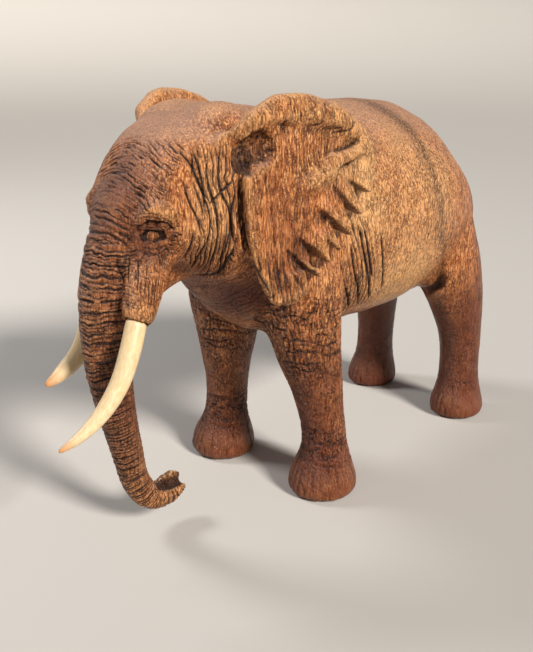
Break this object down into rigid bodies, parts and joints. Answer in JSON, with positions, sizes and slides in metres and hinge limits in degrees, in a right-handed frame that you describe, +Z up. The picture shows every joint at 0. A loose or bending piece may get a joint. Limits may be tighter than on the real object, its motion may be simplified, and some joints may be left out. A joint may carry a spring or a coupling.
{
  "type": "carved elephant figurine",
  "caption": "Standing elephant carved from one block of reddish hardwood, with a curled trunk, folded ears and separate pale tusks glued into sockets.",
  "frame": {"origin": "middle of the bounding box at the height of the soles", "axes": "+Z up, the elephant faces -Y, and its left side is +X"},
  "size_m": [0.0576, 0.166, 0.1048],
  "materials": {
    "carved_wood": "satin oiled reddish-brown hardwood with dark stain in the cuts",
    "pale_tusk": "smooth polished pale wood or bone, cream coloured"
  },
  "bodies": {
    "root": {"body": "carved_wood", "tusk_left": "pale_tusk", "tusk_right": "pale_tusk"}
  },
  "joints": []
}
